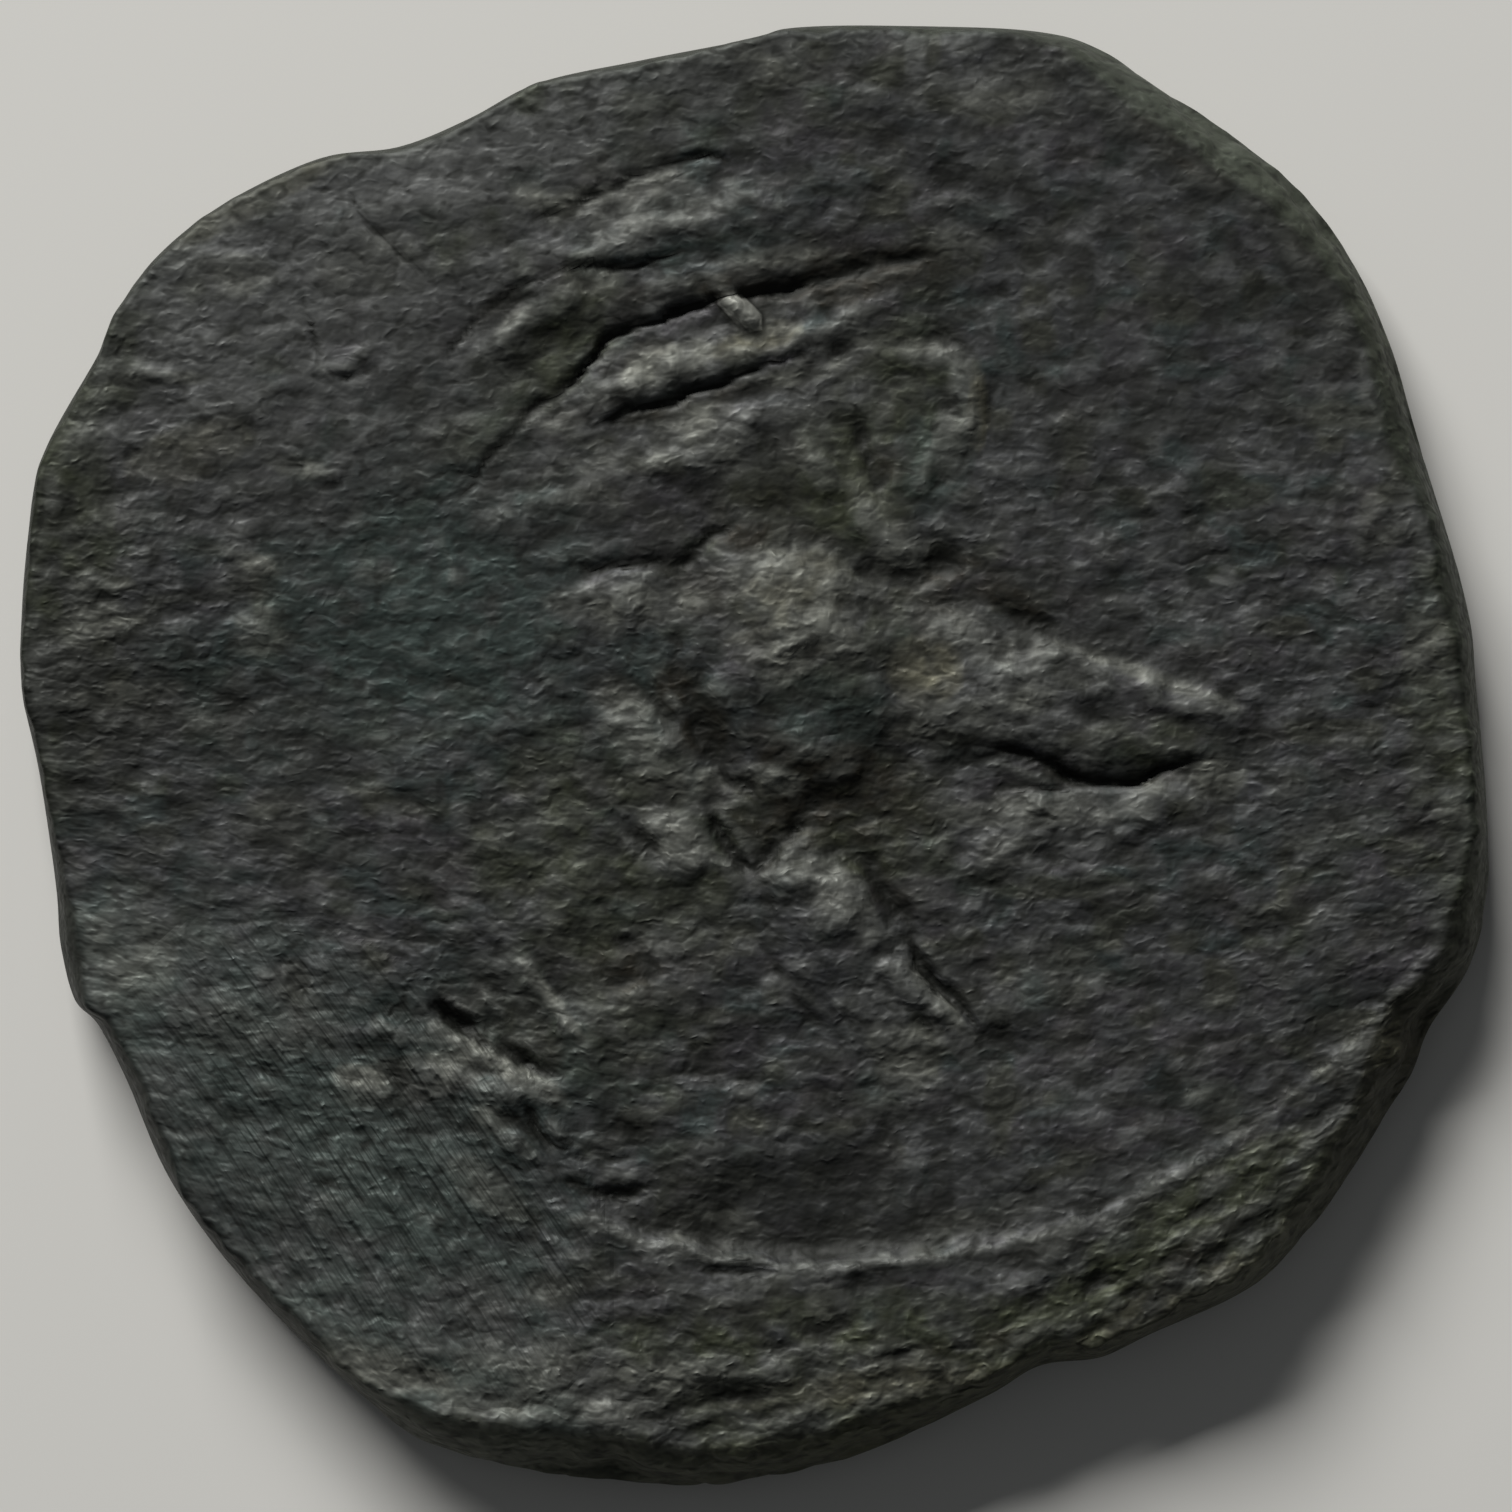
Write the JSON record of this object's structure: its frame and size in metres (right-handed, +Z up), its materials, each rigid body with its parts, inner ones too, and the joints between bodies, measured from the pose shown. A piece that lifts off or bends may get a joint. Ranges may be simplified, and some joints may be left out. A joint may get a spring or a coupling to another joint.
{
  "type": "hammered silver penny",
  "caption": "Worn hammered silver coin with an uneven outline, a struck ring, curved folds and a raised boss, lying flat.",
  "frame": {"origin": "middle of the coin's outline, on the surface that it lies on", "axes": "+Z up out of the struck face, through the thickness; +Y towards the top of the struck face as pictured, +X to its right"},
  "size_m": [0.0184, 0.0184, 0.0014],
  "materials": {
    "toned_silver": "dark toned silver, worn and slightly corroded"
  },
  "bodies": {
    "root": {"penny": "toned_silver"}
  },
  "joints": []
}
